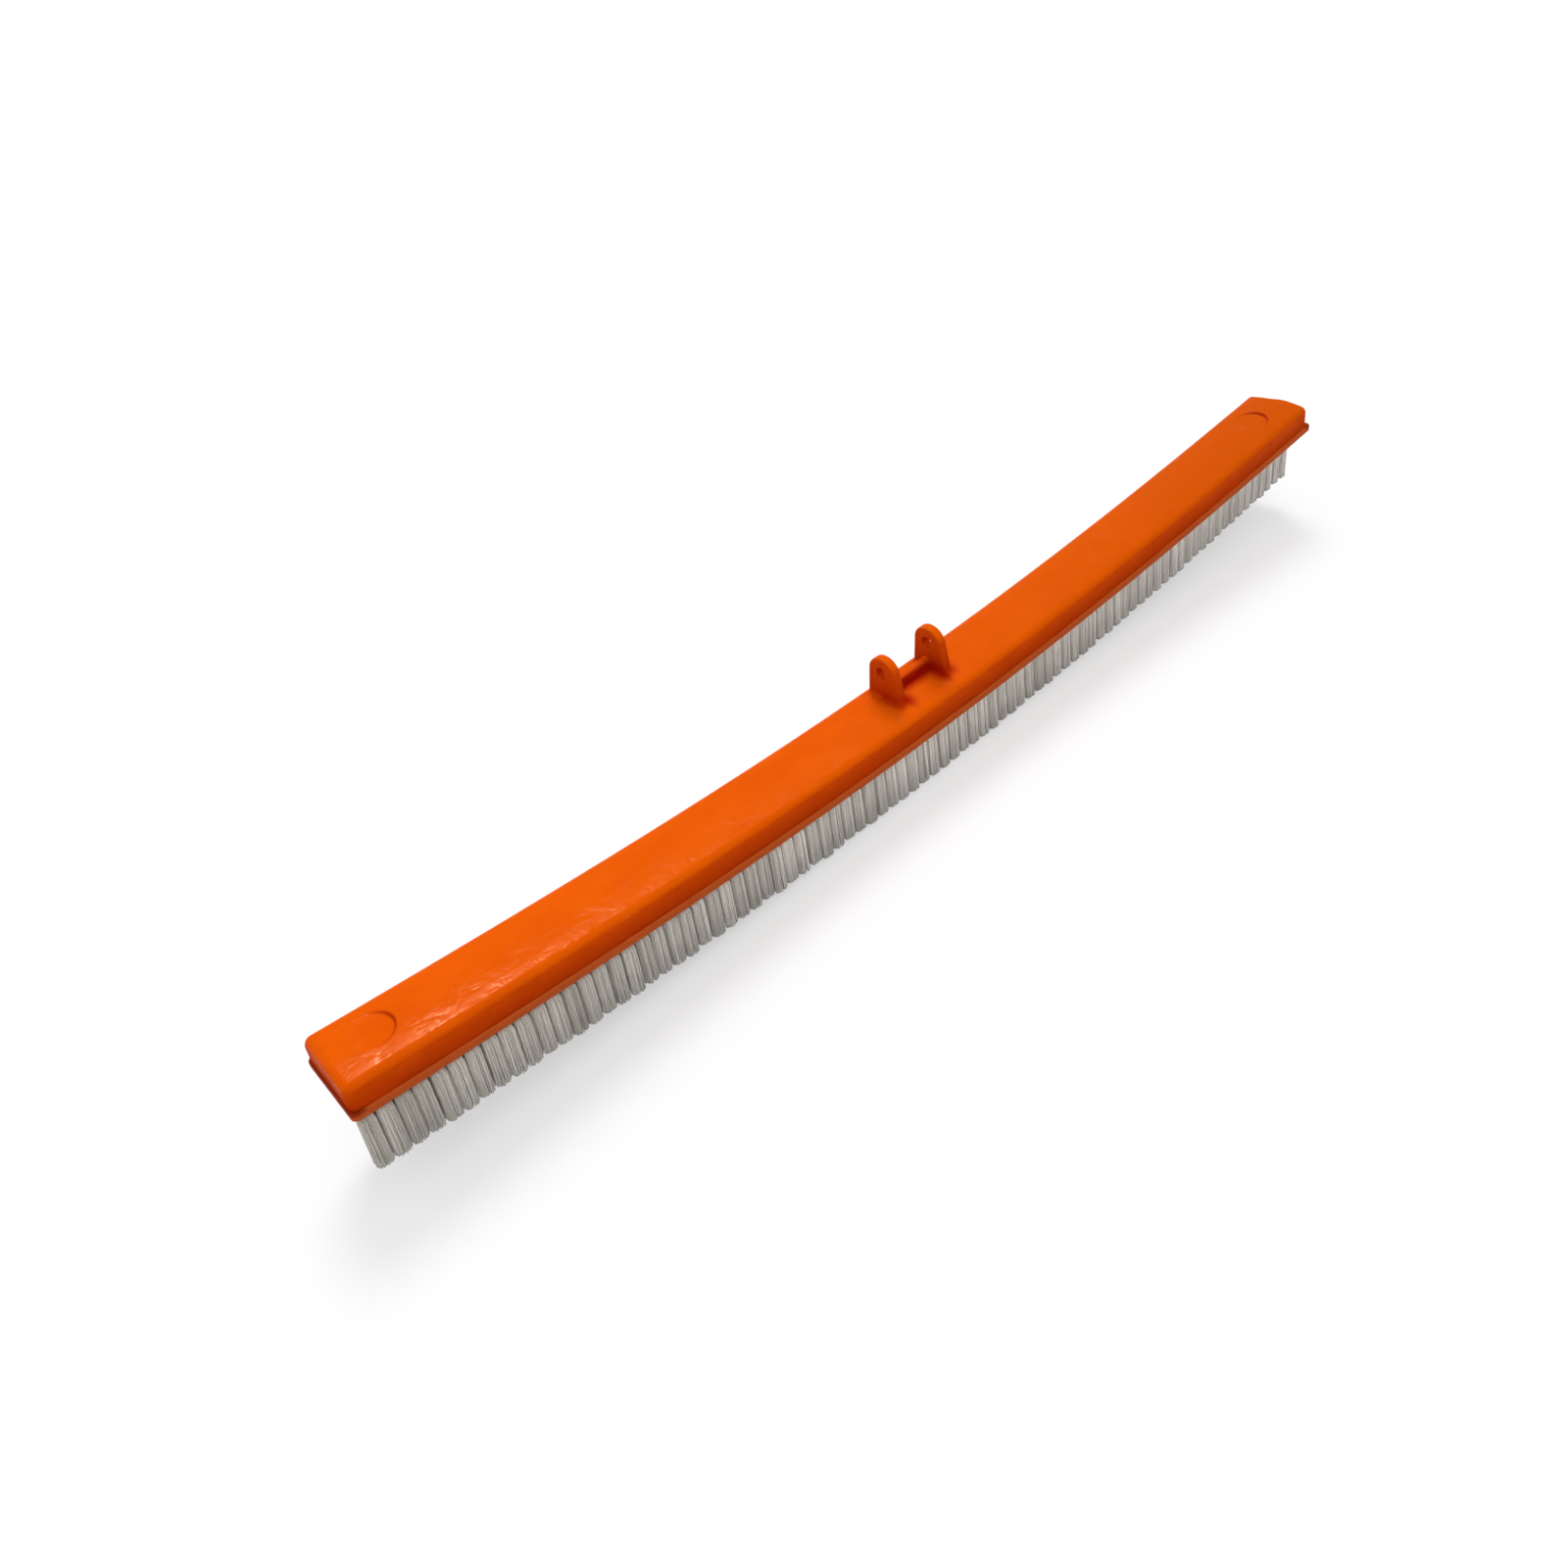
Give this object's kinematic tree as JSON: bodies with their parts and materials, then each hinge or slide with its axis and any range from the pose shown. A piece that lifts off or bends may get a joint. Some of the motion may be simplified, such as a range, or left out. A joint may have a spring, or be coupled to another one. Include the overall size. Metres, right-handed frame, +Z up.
{
  "type": "pool wall brush",
  "caption": "Long curved pool wall brush with a hollow moulded back, two pin-holed handle ears joined by a web, and dense bristle tufts in rows.",
  "frame": {"origin": "on the floor under the middle of the brush, as it stands on its bristle tips", "axes": "+X along the back towards the end where the tufts stop furthest from the lip's end, -Y towards the front long side, +Z up through the handle ears"},
  "size_m": [0.7574, 0.0532, 0.0802],
  "materials": {
    "shell_plastic": "satin-gloss moulded orange plastic",
    "block_plastic": "satin moulded red-orange plastic",
    "bristle_nylon": "grey-white nylon filament, cut tips",
    "screw_steel": "plain stainless steel"
  },
  "bodies": {
    "root": {"back_shell": "shell_plastic", "tuft_block": "block_plastic", "bristle_bank_1": "bristle_nylon", "bristle_bank_2": "bristle_nylon", "bristle_bank_3": "bristle_nylon", "bristle_bank_4": "bristle_nylon", "block_screw_1": "screw_steel", "block_screw_2": "screw_steel", "block_screw_3": "screw_steel", "block_screw_4": "screw_steel", "block_screw_5": "screw_steel", "block_screw_6": "screw_steel", "block_screw_7": "screw_steel"}
  },
  "joints": []
}
